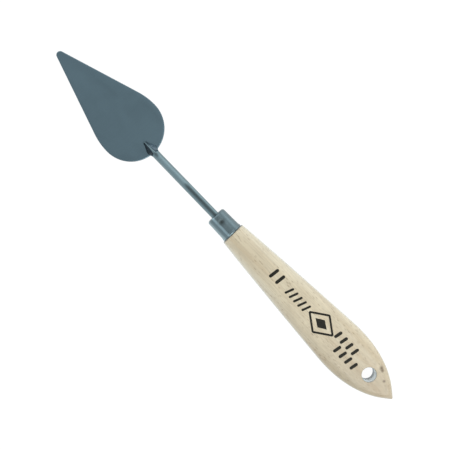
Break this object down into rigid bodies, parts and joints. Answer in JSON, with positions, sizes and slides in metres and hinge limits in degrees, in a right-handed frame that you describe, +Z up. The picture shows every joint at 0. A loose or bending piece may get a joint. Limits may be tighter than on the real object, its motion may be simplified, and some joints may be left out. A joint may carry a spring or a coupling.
{
  "type": "palette knife",
  "caption": "Painting knife with a teardrop steel blade welded to a cranked round shank, a steel ferrule and a beech handle with a hanging hole.",
  "frame": {"origin": "centre of the knife's box in X and Y, on the surface the knife lies on", "axes": "+X from the butt to the blade's tip, +Y across, +Z up, with the knife lying on the blade's tongue and the handle's belly"},
  "size_m": [0.2104, 0.0296, 0.0149],
  "materials": {
    "blade_steel": "fine ground, satin, slate grey",
    "rod_steel": "drawn, polished along its length",
    "weld_steel": "ground filler, mottled",
    "ferrule_steel": "drawn, nickel-bright, lightly scuffed",
    "beech": null,
    "ink": "dark printed ink, slightly worn",
    "adhesive": "cured amber epoxy"
  },
  "bodies": {
    "grip": {"handle": "beech", "ferrule": "ferrule_steel", "tang_adhesive": "adhesive", "shank": "rod_steel", "weld": "weld_steel"},
    "blade": {"blade": "blade_steel"}
  },
  "joints": [
    {"name": "blade_flex", "type": "hinge", "parent": "grip", "child": "blade", "pos_m": [0.05126, 0, 0.00071], "axis": [0, -1, 0], "range_deg": [-2.5, 20], "stiffness_Nm_per_rad": 2.3, "deforming": ["blade"]}
  ]
}
